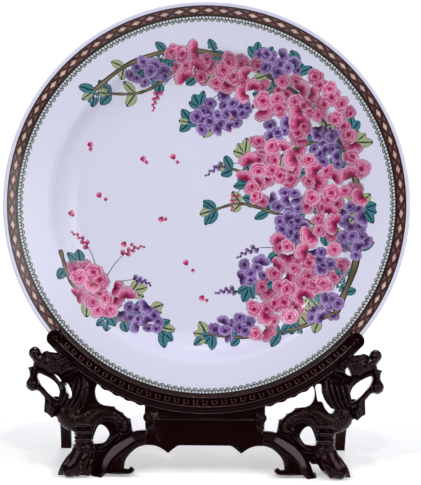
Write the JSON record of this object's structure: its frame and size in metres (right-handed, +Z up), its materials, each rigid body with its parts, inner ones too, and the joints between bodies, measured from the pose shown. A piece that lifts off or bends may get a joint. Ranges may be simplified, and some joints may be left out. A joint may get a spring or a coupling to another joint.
{
  "type": "display plate on folding stand",
  "caption": "Large shallow porcelain plate with a broad flange, held upright on a dark carved wooden stand with two dragon wings and folding rear legs.",
  "frame": {"origin": "middle of the footprint of the whole part, on the surface that it stands on", "axes": "+Z up, the plate faces -Y and leans back by 12 degrees, +X to the viewer's right"},
  "size_m": [0.35, 0.1194, 0.3982],
  "materials": {
    "porcelain": "glossy glaze with enamelled decoration",
    "rosewood_dark": "dark stained and lacquered, high gloss",
    "rosewood_red": "reddish brown stain, lacquered",
    "brass": "aged",
    "steel": "zinc plated"
  },
  "bodies": {
    "stand": {"front_rail": "rosewood_dark", "apron_panel": "rosewood_dark", "front_leg_left": "rosewood_dark", "front_leg_right": "rosewood_dark", "dragon_left": "rosewood_dark", "dragon_right": "rosewood_dark", "upright_left": "rosewood_red", "upright_right": "rosewood_red", "back_rail_upper": "rosewood_red", "back_rail_lower": "rosewood_red", "back_rail_dowels": "rosewood_red", "upright_screws": "steel", "hinge_block_left": "rosewood_red", "hinge_block_right": "rosewood_red", "hinge_pin_left": "brass", "hinge_pin_right": "brass", "hinge_screws": "steel"},
    "plate": {"plate": "porcelain"},
    "rear_leg_left": {"rear_leg_left": "rosewood_red"},
    "rear_leg_right": {"rear_leg_right": "rosewood_red"}
  },
  "joints": [
    {"name": "plate_lift", "type": "slide", "parent": "stand", "child": "plate", "axis": [0, 0.2079, 0.9781], "range_m": [0, 0.25]},
    {"name": "rear_leg_left_fold", "type": "hinge", "parent": "stand", "child": "rear_leg_left", "pos_m": [-0.122, -0.00895, 0.05119], "axis": [1, 0, 0], "range_deg": [-60, 0]},
    {"name": "rear_leg_right_fold", "type": "hinge", "parent": "stand", "child": "rear_leg_right", "pos_m": [0.122, -0.00895, 0.05119], "axis": [1, 0, 0], "range_deg": [-60, 0]}
  ]
}
